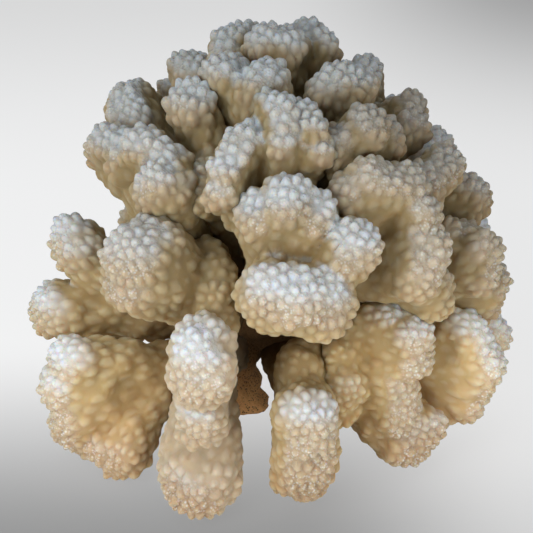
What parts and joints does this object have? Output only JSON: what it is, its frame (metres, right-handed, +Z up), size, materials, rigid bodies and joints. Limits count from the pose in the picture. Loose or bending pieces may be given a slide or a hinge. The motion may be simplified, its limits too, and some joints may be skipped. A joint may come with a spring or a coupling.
{
  "type": "cauliflower coral",
  "caption": "Dome-shaped colony of bleached cauliflower coral: blunt lobed branches, covered in rounded lumps, radiating from a short brown foot that is cut off flat.",
  "frame": {"origin": "middle of the flat cut under the foot, where the colony was broken off its rock", "axes": "+Z up the foot to the crown of the colony; -Y towards the fuller front; +X to the right of the front"},
  "size_m": [0.1959, 0.2067, 0.1724],
  "materials": {
    "bleached_skeleton": "matte",
    "brown_skeleton": "matte"
  },
  "bodies": {
    "root": {"trunk": "brown_skeleton", "front_left_blade": "bleached_skeleton", "front_blade": "bleached_skeleton", "crown_front": "bleached_skeleton", "front_right_plate": "bleached_skeleton", "left_low_plate": "bleached_skeleton", "left_front_lobe": "bleached_skeleton", "right_shoulder": "bleached_skeleton", "right_fan": "bleached_skeleton", "top_front": "bleached_skeleton", "left_finger": "bleached_skeleton", "left_shoulder": "bleached_skeleton", "right_plate": "bleached_skeleton", "right_upper_plate": "bleached_skeleton", "top_right_front": "bleached_skeleton", "top_left_column": "bleached_skeleton", "top_left": "bleached_skeleton", "top": "bleached_skeleton", "top_right": "bleached_skeleton", "left_back_shoulder": "bleached_skeleton", "top_left_back": "bleached_skeleton", "back_top": "bleached_skeleton", "back_right_shoulder": "bleached_skeleton", "right_back_plate": "bleached_skeleton", "right_low_back": "bleached_skeleton", "back_right": "bleached_skeleton", "back": "bleached_skeleton", "back_low": "bleached_skeleton", "back_left": "bleached_skeleton", "back_left_low": "bleached_skeleton", "left_back_middle": "bleached_skeleton", "left_back_plate": "bleached_skeleton"}
  },
  "joints": []
}
